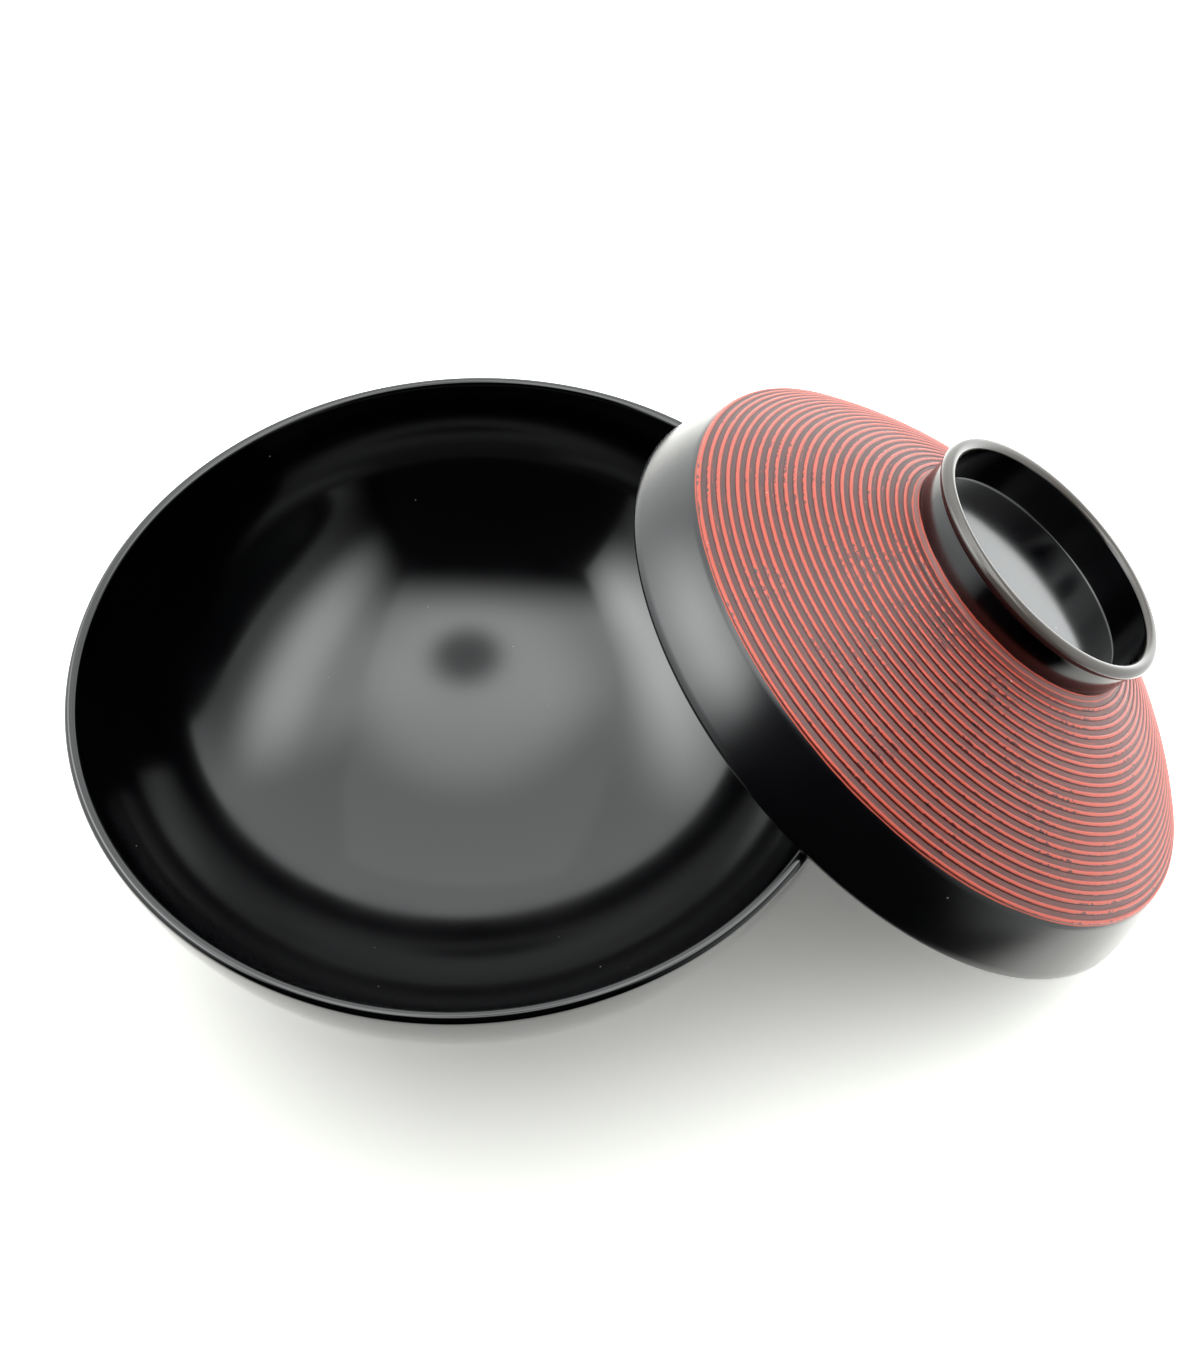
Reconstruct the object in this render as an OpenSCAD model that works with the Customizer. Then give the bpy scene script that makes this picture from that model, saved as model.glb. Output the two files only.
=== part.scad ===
// A lacquer soup bowl with its lid leaning on it, as it stands on a table.
// Origin: centre of the bowl's foot ring, on the table. +Z up, the lid lies towards +X.
// Every piece is a solid of revolution, so each module turns one outline about its own axis.

/* [Bowl] */
// Outer radius of the mouth, at the lip
bowl_rim_r = 70; // [60:0.5:85]
// Height of the lip above the table
bowl_h = 60.5; // [54:0.5:66]
// Thickness of the wall at the lip
bowl_wall = 2.1; // [1.6:0.1:4]
// Height of the body's lowest outer point above the table, if its curve ran on under the foot
bowl_body_rise = 6; // [4:0.5:9]
// Thickness of the bottom, from that point to the inside
bowl_floor_t = 5; // [3:0.5:8]
// How far above the lip the wall's curve would stand upright, so that the mouth still opens a little
bowl_flare_rise = 0.5; // [0:0.5:10]

/* [Foot ring] */
// Outer radius of the foot ring on the table
foot_r = 30.5; // [24:0.5:38]
// Width of the ring's resting face, with its two rounded edges
foot_wall = 3.4; // [2.4:0.1:6]
// How much wider the ring gets from the table to where it meets the body
foot_taper = 0.9; // [0:0.1:3]
// Depth of the hollow under the foot
foot_hollow = 6; // [3:0.5:7]
// Radius of the ring's rounded edges
foot_edge = 0.8; // [0.3:0.1:1.1]
// Radius of the fillet between the ring and the body
foot_fillet = 2.2; // [1:0.1:3]

/* [Lid] */
// Outer radius of the lid's rim, which drops inside the bowl's mouth
lid_rim_r = 64.1; // [60:0.1:66]
// Thickness of the lid's skirt at the rim
lid_wall = 2.2; // [1.6:0.1:3]
// Height of the plain skirt, from the rim to the first rib
skirt_h = 13; // [9:0.1:16]
// How much narrower the skirt is at its top than at its rim
skirt_draft = 4.1; // [1:0.1:6]
// How far the skirt swells outwards half way up
skirt_swell = 0.3; // [0.1:0.05:0.8]
// Height of the roof where it meets the knob ring, above the rim
roof_h = 31.3; // [29.6:0.1:33]
// How far the roof swells above the straight line from the skirt to the knob ring
roof_swell = 1.8; // [0.8:0.05:2.3]
// Thickness of the roof
roof_t = 3; // [2:0.1:4]

/* [Knob ring] */
// Outer radius of the ring that the lid is held by
knob_r = 26.3; // [20:0.1:32]
// Height of the ring's lip above the lid's rim
knob_top_h = 40.3; // [38:0.1:46]
// Thickness of the ring at its lip
knob_wall = 2.6; // [1.2:0.1:3]
// How much narrower the ring is where it meets the roof than at its lip
knob_waist = 1; // [0:0.05:1.5]
// Height of the floor inside the ring above the lid's rim
knob_floor_h = 32; // [31:0.1:35]
// How much the ring narrows inside, from the lip to that floor
knob_draft = 0.7; // [0:0.1:2]
// Radius of the fillet between the roof and the ring
knob_fillet = 1.2; // [0.6:0.1:1.6]

/* [Ribs] */
// Number of ribs between the skirt and the knob ring
rib_count = 23; // [12:1:26]
// Width of a rib where it stands on the roof
rib_w = 0.8; // [0.4:0.05:1]
// Height of a rib above the roof
rib_h = 0.36; // [0.15:0.01:0.6]
// Bare roof between the skirt's upper edge and the outermost rib
rib_margin = 0.2; // [0.1:0.05:1]
// Bare roof between the innermost rib and the knob ring's fillet
rib_stop = 0.4; // [0:0.05:1]

/* [Resting place of the lid] */
// How steeply the lid leans, in degrees
lean_angle = 36; // [34:0.5:42]
// Gap left between the lid's rim and the bowl's lip where they touch on the real one
lean_gap = 0.2; // [0.1:0.05:0.5]

/* [Smoothness] */
// Facets round each turned piece
round_fn = 160; // [64:16:256]
// Straight steps in each long curve of an outline
curve_steps = 28; // [12:2:48]
// Straight steps in each small rounding
edge_steps = 6; // [4:1:10]

/* [Hidden] */
$fn = round_fn;

// Outline of the bowl: two half ellipses about one centre above the mouth
wall_centre_z = bowl_h + bowl_flare_rise;
outer_depth = wall_centre_z - bowl_body_rise;
inner_depth = outer_depth - bowl_floor_t;
function ellipse_at(r, depth) = r / sqrt(1 - pow(bowl_flare_rise / depth, 2));
outer_r = ellipse_at(bowl_rim_r, outer_depth);
inner_r = ellipse_at(bowl_rim_r - bowl_wall, inner_depth);
lip_rise = bowl_wall / 2;
lip_z = bowl_h - lip_rise;
function wall_r(r, depth, z) = r * sqrt(1 - pow((wall_centre_z - z) / depth, 2));
lip_out_r = wall_r(outer_r, outer_depth, lip_z);
lip_in_r = wall_r(inner_r, inner_depth, lip_z);
lip_r = (lip_out_r + lip_in_r) / 2;
lip_tube_r = (lip_out_r - lip_in_r) / 2;
foot_top_r = foot_r + foot_taper;
foot_top_z = wall_centre_z - outer_depth * sqrt(1 - pow(foot_top_r / outer_r, 2));
foot_inner_r = foot_r - foot_wall;

// Outline of the lid, about its own rim plane
skirt_top_r = lid_rim_r - skirt_draft;
rim_tube_r = lid_wall / 2;
knob_lip_r = knob_wall / 2;
knob_inner_r = knob_r - knob_wall;
knob_floor_r = knob_inner_r - knob_draft;

function polar(c, r, a) = c + r * [cos(a), sin(a)];
function arc(c, r, a0, a1, steps) = [for (i = [0 : steps]) polar(c, r, a0 + (a1 - a0) * i / steps)];
function direction(v) = atan2(v[1], v[0]);
function unit(v) = v / norm(v);
function left_of(v) = [-v[1], v[0]];
function without_end(points) = [for (i = [0 : len(points) - 2]) points[i]];

// A shallow arc from a to b that swells by the given height to its left
function swell_r(a, b, swell) = pow(norm(b - a) / 2, 2) / (2 * swell) + swell / 2;
function swell_centre(a, b, swell) = (a + b) / 2 - left_of(unit(b - a)) * (swell_r(a, b, swell) - swell);

// Fillet between a line that leaves corner k along u and one that leaves it along w
function fillet(k, u, w, r, steps) =
    let (half = acos(unit(u) * unit(w)) / 2,
         c = k + unit(unit(u) + unit(w)) * r / sin(half),
         p = k + unit(u) * r / tan(half),
         q = k + unit(w) * r / tan(half),
         a = direction(p - c),
         turn = ((direction(q - c) - a + 540) % 360) - 180)
    arc(c, r, a, a + turn, steps);

// Part of one of the bowl's half ellipses, from one radius to another
function wall_curve(r, depth, r0, r1) =
    let (a0 = asin(r0 / r), a1 = asin(r1 / r))
    [for (i = [0 : curve_steps])
        let (a = a0 + (a1 - a0) * i / curve_steps)
        [r * sin(a), wall_centre_z - depth * cos(a)]];
function wall_slope(r, depth, x) = depth * x / (r * sqrt(r * r - x * x));

function bowl_outline() =
    let (slope = wall_slope(outer_r, outer_depth, foot_top_r),
         joint = [foot_top_r, foot_top_z],
         blend = fillet(joint, [1, slope], [-foot_taper, -foot_top_z], foot_fillet, edge_steps))
    concat(
        wall_curve(inner_r, inner_depth, 0, lip_in_r),
        [for (i = [1 : 2 * edge_steps - 1])
            let (a = 180 - 90 * i / edge_steps)
            [lip_r + lip_tube_r * cos(a), lip_z + lip_rise * sin(a)]],
        without_end(wall_curve(outer_r, outer_depth, lip_out_r, blend[0][0])),
        blend,
        arc([foot_r - foot_edge, foot_edge], foot_edge, 0, -90, edge_steps),
        arc([foot_inner_r + foot_edge, foot_edge], foot_edge, -90, -180, edge_steps),
        arc([foot_inner_r - foot_edge, foot_hollow - foot_edge], foot_edge, 0, 90, edge_steps),
        [[0, foot_hollow]]);

// The lid's skirt and roof, each a shallow arc
skirt_foot = [lid_rim_r, rim_tube_r];
skirt_top = [skirt_top_r, skirt_h];
roof_end = [knob_r - knob_waist, roof_h];
roof_r = swell_r(roof_end, skirt_top, roof_swell);
roof_centre = swell_centre(roof_end, skirt_top, roof_swell);
roof_out_a = direction(skirt_top - roof_centre);
roof_in_a = direction(roof_end - roof_centre);
function roof_point(run, rise = 0) = polar(roof_centre, roof_r + rise, roof_out_a + angle_of(run));
function angle_of(run) = run / roof_r * 180 / PI;
roof_run = (roof_in_a - roof_out_a) * PI / 180 * roof_r;
rib_first = rib_margin + rib_w / 2;
rib_last = roof_run - knob_fillet - rib_stop - rib_w / 2;
function rib_run(i) = rib_first + (rib_last - rib_first) * i / (rib_count - 1);

function lid_outer() =
    let (swell_c = swell_centre(skirt_top, skirt_foot, skirt_swell),
         swell_rad = swell_r(skirt_top, skirt_foot, skirt_swell),
         a0 = direction(skirt_foot - swell_c),
         a1 = direction(skirt_top - swell_c),
         ring_side = [knob_r, knob_top_h - knob_lip_r] - roof_end,
         base = fillet(roof_end, ring_side,
                       roof_point(roof_run - knob_fillet) - roof_end, knob_fillet, edge_steps))
    concat(
        arc(swell_c, swell_rad, a0, a1, edge_steps),
        [for (i = [0 : rib_count - 1]) each [for (side = [-1, 1]) roof_point(rib_run(i) + side * rib_w / 2)]],
        [for (i = [edge_steps : -1 : 0]) base[i]],
        arc([knob_r - knob_lip_r, knob_top_h - knob_lip_r], knob_lip_r, direction(ring_side) - 90, 180,
            2 * edge_steps),
        [[knob_floor_r, knob_floor_h], [0, knob_floor_h]]);

function lid_inner() =
    let (roof_in_r = roof_r - roof_t,
         inside_top = knob_floor_h - roof_t,
         top_r = roof_centre[0] + sqrt(pow(roof_in_r, 2) - pow(inside_top - roof_centre[1], 2)),
         top_a = direction([top_r, inside_top] - roof_centre),
         skirt_in_r = skirt_top_r - lid_wall)
    concat(
        [[0, inside_top]],
        [for (i = [0 : curve_steps])
            let (p = polar(roof_centre, roof_in_r, top_a + (roof_out_a - top_a) * i / curve_steps))
            if (p[0] < skirt_in_r) p],
        without_end(arc([lid_rim_r - rim_tube_r, rim_tube_r], rim_tube_r, -180, 0, 2 * edge_steps)));

// Where the leaning lid stands: its rim on the table, and the bowl's lip against its rim or its inside.
// The distance is found by halving, from the gap between the round lip and the outline inside the lid.
lean_z = rim_tube_r + (lid_rim_r - rim_tube_r) * sin(lean_angle);
inside_line = lid_inner();
function edge_gap(q, a, b) = norm(q - a - (b - a) * max(0, min(1, (q - a) * (b - a) / ((b - a) * (b - a)))));
function inside_gap(q) =
    let (room = lookup(q[0], inside_line) - q[1])
    room < 0 && q[0] < lid_rim_r ? room
        : min([for (i = [1 : len(inside_line) - 1]) edge_gap(q, inside_line[i - 1], inside_line[i])]);
function lip_in_lid(x, t) =
    let (p = [lip_r * cos(t) - x, lip_r * sin(t), lip_z - lean_z])
    [norm([p[0] * cos(lean_angle) - p[2] * sin(lean_angle), p[1]]),
     p[0] * sin(lean_angle) + p[2] * cos(lean_angle) + rim_tube_r];
function lip_gap(x) = min([for (t = [0 : 180]) inside_gap(lip_in_lid(x, t))]) - lip_tube_r;
function lean_search(low, high, n) =
    let (mid = (low + high) / 2)
    n == 0 ? mid : lip_gap(mid) < lean_gap ? lean_search(mid, high, n - 1) : lean_search(low, mid, n - 1);
search_steps = 16;
lean_x = lean_search(0, lip_r + lid_rim_r, search_steps);

module place_lid() {
    translate([lean_x, 0, lean_z])
        rotate([0, lean_angle, 0])
            translate([0, 0, -rim_tube_r])
                children();
}

module bowl() {
    color("#141312")
        rotate_extrude() polygon(bowl_outline());
}

module lid() {
    color("#1a1817")
        place_lid()
            rotate_extrude() polygon(concat(lid_outer(), lid_inner()));
}

module lid_ribs() {
    color("#c8452f")
        place_lid()
            for (i = [0 : rib_count - 1])
                rotate_extrude() polygon(rib_outline(rib_run(i)));
}

// One rib: a low rounded ridge that stands on the straight step of the roof under it
function rib_outline(run) =
    let (a = roof_point(run - rib_w / 2), b = roof_point(run + rib_w / 2),
         along = (b - a) / 2, up = rib_h * unit(roof_point(run, 1) - roof_point(run)))
    [for (i = [0 : edge_steps]) (a + b) / 2 - along * cos(180 * i / edge_steps) + up * sin(180 * i / edge_steps)];

bowl();
lid();
lid_ribs();
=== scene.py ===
"""Lacquer soup bowl with its lid leaning on it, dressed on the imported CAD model.

The bowl and the lid are turned shells and the lid's roof carries raised rings, so each piece is
made from one outline by a Geometry Nodes tree, in the place where the CAD node lies.
"""

import logging
import math
from collections.abc import Callable, Mapping, Sequence
from dataclasses import dataclass, field
from enum import Enum
from functools import partial

import bpy
from bpy.types import Material, Mesh, NodeSocket, NodeTree, Object, World
from mathutils import Matrix, Vector

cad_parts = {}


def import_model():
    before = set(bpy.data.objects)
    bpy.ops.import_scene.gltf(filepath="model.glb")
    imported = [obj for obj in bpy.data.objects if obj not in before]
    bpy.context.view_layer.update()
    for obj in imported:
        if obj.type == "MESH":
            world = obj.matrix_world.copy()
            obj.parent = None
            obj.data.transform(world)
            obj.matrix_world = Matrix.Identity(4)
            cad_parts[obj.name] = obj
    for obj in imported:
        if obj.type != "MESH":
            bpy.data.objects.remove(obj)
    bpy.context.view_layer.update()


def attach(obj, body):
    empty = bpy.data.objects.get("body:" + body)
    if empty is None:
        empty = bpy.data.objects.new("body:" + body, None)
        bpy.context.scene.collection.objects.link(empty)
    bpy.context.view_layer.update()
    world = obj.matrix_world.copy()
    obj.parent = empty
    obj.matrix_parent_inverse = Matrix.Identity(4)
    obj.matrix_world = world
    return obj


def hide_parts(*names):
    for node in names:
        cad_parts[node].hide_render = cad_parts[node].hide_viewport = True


log = logging.getLogger("soup_bowl")

MM = 0.001
WELD_M = 0.000002
CM3_PER_M3 = 1e6

Point = tuple[float, float]
Triple = tuple[float, float, float]
# The two ends of a value's range, then what each gives.
Ramp = tuple[float, float, float, float]
# The range that most values of a noise texture lie in.
NOISE_RANGE: Point = (0.3, 0.7)

# Node types that are used again and again.
ATTRIBUTE = "ShaderNodeAttribute"
COORDS = "ShaderNodeTexCoord"
JOIN = "ShaderNodeCombineXYZ"
MATH = "ShaderNodeMath"
MIX = "ShaderNodeMix"
NOISE = "ShaderNodeTexNoise"
OUTPUT = "ShaderNodeOutputMaterial"
PRINCIPLED = "ShaderNodeBsdfPrincipled"
RAMP = "ShaderNodeMapRange"
SPLIT = "ShaderNodeSeparateXYZ"
STORE = "GeometryNodeStoreNamedAttribute"
VECTOR_MATH = "ShaderNodeVectorMath"

# Socket type of a geometry tree's input, by the type of its value.
INPUT_SOCKETS = {int: "NodeSocketInt", float: "NodeSocketFloat", Material: "NodeSocketMaterial"}


class Slot(Enum):
    """Material slots of the record."""

    BLACK = "black_lacquer"
    RED = "red_lacquer"


class Rays(Enum):
    """Kinds of ray that the studio treats in their own way."""

    CAMERA = "Is Camera Ray"
    GLOSSY = "Is Glossy Ray"


def linear(hex_colour: str) -> tuple[float, float, float, float]:
    """Turns an sRGB hex colour into a linear one.

    Args:
        hex_colour: Six hex digits, with or without a leading hash.

    Returns:
        Linear red, green, blue and an alpha of one.
    """
    digits = hex_colour.lstrip("#")
    parts = [int(digits[i:i + 2], 16) / 255 for i in (0, 2, 4)]
    red, green, blue = (c / 12.92 if c <= 0.04045 else ((c + 0.055) / 1.055) ** 2.4 for c in parts)
    return (red, green, blue, 1.0)


def add_node(tree: NodeTree, kind: str, inputs: Mapping[str | int, object] | Sequence[object] = (),
             **settings: object) -> bpy.types.bpy_prop_collection:
    """Adds one node with its settings, its socket values and its links.

    Args:
        tree: Shader or geometry tree that the node goes into.
        kind: The node's type name.
        inputs: Values, or sockets that feed the inputs, in the inputs' order or by name or number.
        settings: Properties of the node itself.

    Returns:
        The new node's outputs.
    """
    node = tree.nodes.new(kind)
    for name, value in settings.items():
        setattr(node, name, value)
    for key, value in inputs.items() if isinstance(inputs, Mapping) else enumerate(inputs):
        if isinstance(value, NodeSocket):
            tree.links.new(value, node.inputs[key])
        else:
            node.inputs[key].default_value = value
    return node.outputs


def blank_tree(owner: Material | World) -> NodeTree:
    """Gives a material or a world an empty node tree.

    Args:
        owner: The material or the world.

    Returns:
        Its tree.
    """
    owner.use_nodes = True
    owner.node_tree.nodes.clear()
    return owner.node_tree


def new_object(name: str, data: Mesh | bpy.types.Camera) -> Object:
    """Makes an object and puts it into the scene.

    Args:
        name: Name of the object.
        data: Its mesh or camera.

    Returns:
        The object.
    """
    thing = bpy.data.objects.new(name, data)
    bpy.context.scene.collection.objects.link(thing)
    return thing


def lay_coats(tree: NodeTree, base: NodeSocket | Sequence[float],
              coats: Sequence[tuple[NodeSocket, str]]) -> NodeSocket:
    """Lays coats of colour over each other.

    Args:
        tree: The material's tree.
        base: Colour under the first coat.
        coats: How far each coat covers, and its sRGB hex colour.

    Returns:
        The colour on top.
    """
    for cover, colour in coats:
        base = add_node(tree, MIX, {0: cover, 6: base, 7: linear(colour)}, data_type="RGBA")[2]
    return base


def flecks(tree: NodeTree, spacing_mm: float, radius_mm: float, bare: float, channel: int = 0,
           gains: Sequence[NodeSocket] = ()) -> NodeSocket:
    """Scatters small round flecks, at most one to a cell.

    Args:
        tree: The material's tree.
        spacing_mm: Distance from one cell to the next.
        radius_mm: Radius of the largest fleck.
        bare: Share of the cells that have none.
        channel: Which of the cell's random numbers sets the fleck's size.
        gains: What the size is multiplied by from place to place.

    Returns:
        1 on a fleck and 0 beside it.
    """
    add = partial(add_node, tree)
    here = add(COORDS)["Object"]
    cells = add("ShaderNodeTexVoronoi", {"Vector": here, "Scale": 1 / (spacing_mm * MM)})
    pick = add("ShaderNodeSeparateColor", [cells["Color"]])[channel]
    size = add(RAMP, [pick, bare, 1.0, 0.0, radius_mm / spacing_mm])[0]
    for gain in gains:
        size = add(MATH, [size, gain], operation="MULTIPLY")[0]
    return add(MATH, [cells["Distance"], size], operation="LESS_THAN")[0]


def polar(centre: Point, radius: float, angle: float) -> Point:
    """Returns the point at an angle in radians on a circle."""
    return (centre[0] + radius * math.cos(angle), centre[1] + radius * math.sin(angle))


def arc(centre: Point, radius: float, start: float, end: float, steps: int) -> list[Point]:
    """Lists points along a circular arc.

    Args:
        centre: Centre of the circle.
        radius: Its radius.
        start: First angle in degrees.
        end: Last angle in degrees.
        steps: Number of straight steps.

    Returns:
        steps + 1 points, both ends included.
    """
    return [polar(centre, radius, math.radians(start + (end - start) * i / steps)) for i in range(steps + 1)]


def heading(a: Point, b: Point) -> float:
    """Returns the angle in degrees of the way from a to b."""
    return math.degrees(math.atan2(b[1] - a[1], b[0] - a[0]))


def swell_circle(a: Point, b: Point, swell: float) -> tuple[Point, float]:
    """Finds the circle of a shallow arc from a to b.

    Args:
        a: First end.
        b: Second end.
        swell: Height of the arc above its chord, to the left of the way from a to b.

    Returns:
        Centre and radius of the circle.
    """
    chord = math.dist(a, b)
    radius = (chord / 2) ** 2 / (2 * swell) + swell / 2
    left = (-(b[1] - a[1]) / chord, (b[0] - a[0]) / chord)
    drop = radius - swell
    return ((a[0] + b[0]) / 2 - left[0] * drop, (a[1] + b[1]) / 2 - left[1] * drop), radius


def fillet(corner: Point, toward_a: Point, toward_b: Point, radius: float, steps: int) -> list[Point]:
    """Rounds a corner between two straight lines.

    Args:
        corner: Where the lines meet.
        toward_a: A point on the first line.
        toward_b: A point on the second line.
        radius: Radius of the rounding.
        steps: Number of straight steps.

    Returns:
        Points from the first line to the second.
    """
    u = Vector((toward_a[0] - corner[0], toward_a[1] - corner[1])).normalized()
    w = Vector((toward_b[0] - corner[0], toward_b[1] - corner[1])).normalized()
    half = math.acos(max(-1.0, min(1.0, u.dot(w)))) / 2
    k = Vector(corner)
    centre = k + (u + w).normalized() * radius / math.sin(half)
    first, last = k + u * radius / math.tan(half), k + w * radius / math.tan(half)
    start = heading(centre, first)
    turn = (heading(centre, last) - start + 540) % 360 - 180
    return arc(centre, radius, start, start + turn, steps)


def to_plain_mesh(host: Object, name: str, place: Matrix) -> Object:
    """Turns a piece's live node tree into a plain mesh object at the origin.

    Args:
        host: Object with the Geometry Nodes modifier.
        name: Name of the finished object.
        place: Where the piece lies, applied to the mesh.

    Returns:
        The finished object.
    """
    graph = bpy.context.evaluated_depsgraph_get()
    mesh = bpy.data.meshes.new_from_object(host.evaluated_get(graph), preserve_all_data_layers=True,
                                           depsgraph=graph)
    old = host.data
    bpy.data.objects.remove(host)
    bpy.data.meshes.remove(old)
    mesh.transform(place)
    mesh.calc_loop_triangles()
    corners = ([mesh.vertices[i].co for i in triangle.vertices] for triangle in mesh.loop_triangles)
    volume = sum(a.dot(b.cross(c)) for a, b, c in corners) / 6
    if volume < 0:
        mesh.flip_normals()
    mesh.name = name
    log.info("%s: %d faces, %.1f cm3", name, len(mesh.polygons), abs(volume) * CM3_PER_M3)
    return new_object(name, mesh)


def new_geometry_tree(name: str, values: Mapping[str, object]) -> NodeTree:
    """Makes an empty geometry tree with named inputs.

    Args:
        name: Name of the tree.
        values: Input name to the value it will get, whose type sets the socket's.

    Returns:
        The tree.
    """
    tree = bpy.data.node_groups.new(name, "GeometryNodeTree")
    tree.interface.new_socket("Geometry", in_out="INPUT", socket_type="NodeSocketGeometry")
    for socket, value in values.items():
        tree.interface.new_socket(socket, in_out="INPUT", socket_type=INPUT_SOCKETS[type(value)])
    tree.interface.new_socket("Geometry", in_out="OUTPUT", socket_type="NodeSocketGeometry")
    tree.is_modifier = True
    return tree


def end_geometry_tree(tree: NodeTree, shape: NodeSocket, place: NodeSocket,
                      given: bpy.types.bpy_prop_collection) -> None:
    """Ends a geometry tree: moves the points, closes the seams and gives the finish.

    Args:
        tree: The geometry tree.
        shape: Flat grids to be bent.
        place: The place of each point.
        given: The tree's inputs.
    """
    add = partial(add_node, tree)
    shape = add("GeometryNodeSetPosition", {"Geometry": shape, "Position": place})[0]
    shape = add("GeometryNodeMergeByDistance", {"Geometry": shape, "Distance": given["Weld"]})[0]
    shape = add("GeometryNodeSetShadeSmooth", {"Geometry": shape})[0]
    shape = add("GeometryNodeRealizeInstances", {"Geometry": shape})[0]
    shape = add("GeometryNodeSetMaterial", {"Geometry": shape, "Material": given["Finish"]})[0]
    add("NodeGroupOutput", [shape])


def run_tree(host: Object, tree: NodeTree, values: Mapping[str, object]) -> None:
    """Runs a geometry tree on an object, with its inputs set by their identifiers.

    Args:
        host: Object that the tree works on.
        tree: The geometry tree.
        values: Input name to value.
    """
    modifier = host.modifiers.new(tree.name, "NODES")
    modifier.node_group = tree
    for item in tree.interface.items_tree:
        if item.item_type == "SOCKET" and item.in_out == "INPUT" and item.name in values:
            modifier[item.identifier] = values[item.name]


@dataclass
class Lathe:
    """Turns an outline about the Z axis, as the wood turner does."""

    segments: int = 320

    def tree(self, values: Mapping[str, object]) -> NodeTree:
        """Builds the tree: a grid whose rows take their radius and height from the outline's points.

        Args:
            values: The tree's inputs.

        Returns:
            The tree.
        """
        tree = new_geometry_tree("lathe", values)
        add = partial(add_node, tree)
        given = add("NodeGroupInput")
        around = add(MATH, [given["Segments"], 1.0], operation="ADD")[0]
        grid = add("GeometryNodeMeshGrid", {"Size X": 1.0, "Size Y": 1.0, "Vertices X": around,
                                            "Vertices Y": given["Outline Points"]})
        share = add(SPLIT, [grid["UV Map"]])
        turn = add(MATH, [share[0], math.tau], operation="MULTIPLY")[0]
        last = add(MATH, [given["Outline Points"], 1.0], operation="SUBTRACT")[0]
        row = add(MATH, [share[1], last], operation="MULTIPLY")[0]
        index = add("FunctionNodeFloatToInt", [row])[0]
        here = add("GeometryNodeInputPosition")[0]
        sample = add("GeometryNodeSampleIndex", {0: given["Geometry"], "Value": here, "Index": index},
                     data_type="FLOAT_VECTOR")[0]
        # A point of the outline holds its radius, the way along the outline and its height.
        radius, way, height = add(SPLIT, [sample])
        cos, sin = (add(MATH, [turn], operation=wave)[0] for wave in ("COSINE", "SINE"))
        x, y = (add(MATH, [radius, part], operation="MULTIPLY")[0] for part in (cos, sin))
        place = add(JOIN, [x, y, height])[0]
        spin = add(JOIN, [cos, sin, way])[0]
        shape = add(STORE, {"Geometry": grid["Mesh"], "Name": "spin", "Value": spin},
                    data_type="FLOAT_VECTOR")[0]
        end_geometry_tree(tree, shape, place, given)
        return tree

    def turn(self, name: str, outline: Sequence[Point], finish: Material, place: Matrix) -> Object:
        """Turns one outline.

        Args:
            name: Name of the piece.
            outline: Radius and height of each point in mm, from the axis round to the axis.
            finish: Material of the piece.
            place: Where the piece lies.

        Returns:
            The finished piece. Its attribute spin holds the cosine and sine of the turn and the way
            along the outline in mm.
        """
        points, way = [], 0.0
        for i, (r, z) in enumerate(outline):
            way += math.dist(outline[i - 1], (r, z)) if i else 0.0
            points.append((r * MM, way, z * MM))
        mesh = bpy.data.meshes.new(name + "_outline")
        mesh.from_pydata(points, [], [])
        host = new_object(name + "_outline", mesh)
        values = {"Segments": self.segments, "Outline Points": len(points), "Weld": WELD_M, "Finish": finish}
        run_tree(host, self.tree(values), values)
        return to_plain_mesh(host, name, place)


@dataclass(frozen=True)
class BlackLacquer:
    """Black lacquer over turned wood, rubbed down and polished, with a clear last coat.

    It gives a deep black that mirrors the room softly, with a few dust specks under the last coat.
    The specks are drawn two or three times as coarse as real dust, which would not show.
    """

    name: str = "black_lacquer_polished"
    colour: str = "#020204"
    roughness: float = 0.11
    roughness_spread: float = 0.02
    cloud_per_m: float = 45.0
    ior: float = 1.5
    speck_spacing_mm: float = 5.5
    speck_mm: float = 0.18
    speck_bare: float = 0.62
    speck_colour: str = "#8A8780"

    def make(self) -> Material:
        """Builds the material.

        Returns:
            The material.
        """
        material = bpy.data.materials.new(self.name)
        tree = blank_tree(material)
        add = partial(add_node, tree)
        speck = flecks(tree, self.speck_spacing_mm, self.speck_mm, self.speck_bare)
        colour = lay_coats(tree, linear(self.colour), [(speck, self.speck_colour)])
        here = add(COORDS)["Object"]
        cloud = add(NOISE, {"Vector": here, "Scale": self.cloud_per_m, "Detail": 2.0})[0]
        gloss = add(RAMP, [cloud, *NOISE_RANGE, self.roughness - self.roughness_spread,
                           self.roughness + self.roughness_spread])[0]
        shader = add(PRINCIPLED, {"Base Color": colour, "Roughness": gloss, "IOR": self.ior})[0]
        add(OUTPUT, [shader])
        return material


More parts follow.
